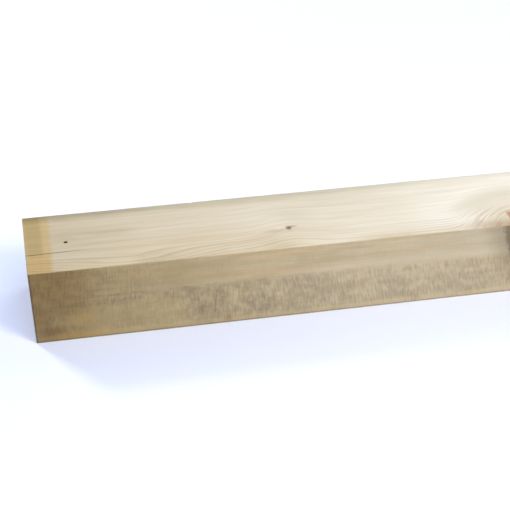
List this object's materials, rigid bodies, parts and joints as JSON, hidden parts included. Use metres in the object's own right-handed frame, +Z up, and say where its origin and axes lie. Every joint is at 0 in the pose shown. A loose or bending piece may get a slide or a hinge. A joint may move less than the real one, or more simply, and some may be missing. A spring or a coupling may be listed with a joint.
{
  "type": "sawn timber plank",
  "caption": "Straight length of rough-sawn, pressure-treated softwood of rectangular section, cross-cut square at its ends, for posts, bearers, wall plates and framing.",
  "frame": {"origin": "middle of the bottom face, on the surface that the plank lies on", "axes": "+X along the length, away from the end with the drying check; +Y across the width, from the front face to the back face; +Z up through the thickness"},
  "size_m": [1.8, 0.1, 0.075],
  "materials": {
    "treated_softwood": "rough sawn, pressure treated, dry and matt"
  },
  "bodies": {
    "root": {"plank": "treated_softwood"}
  },
  "joints": []
}
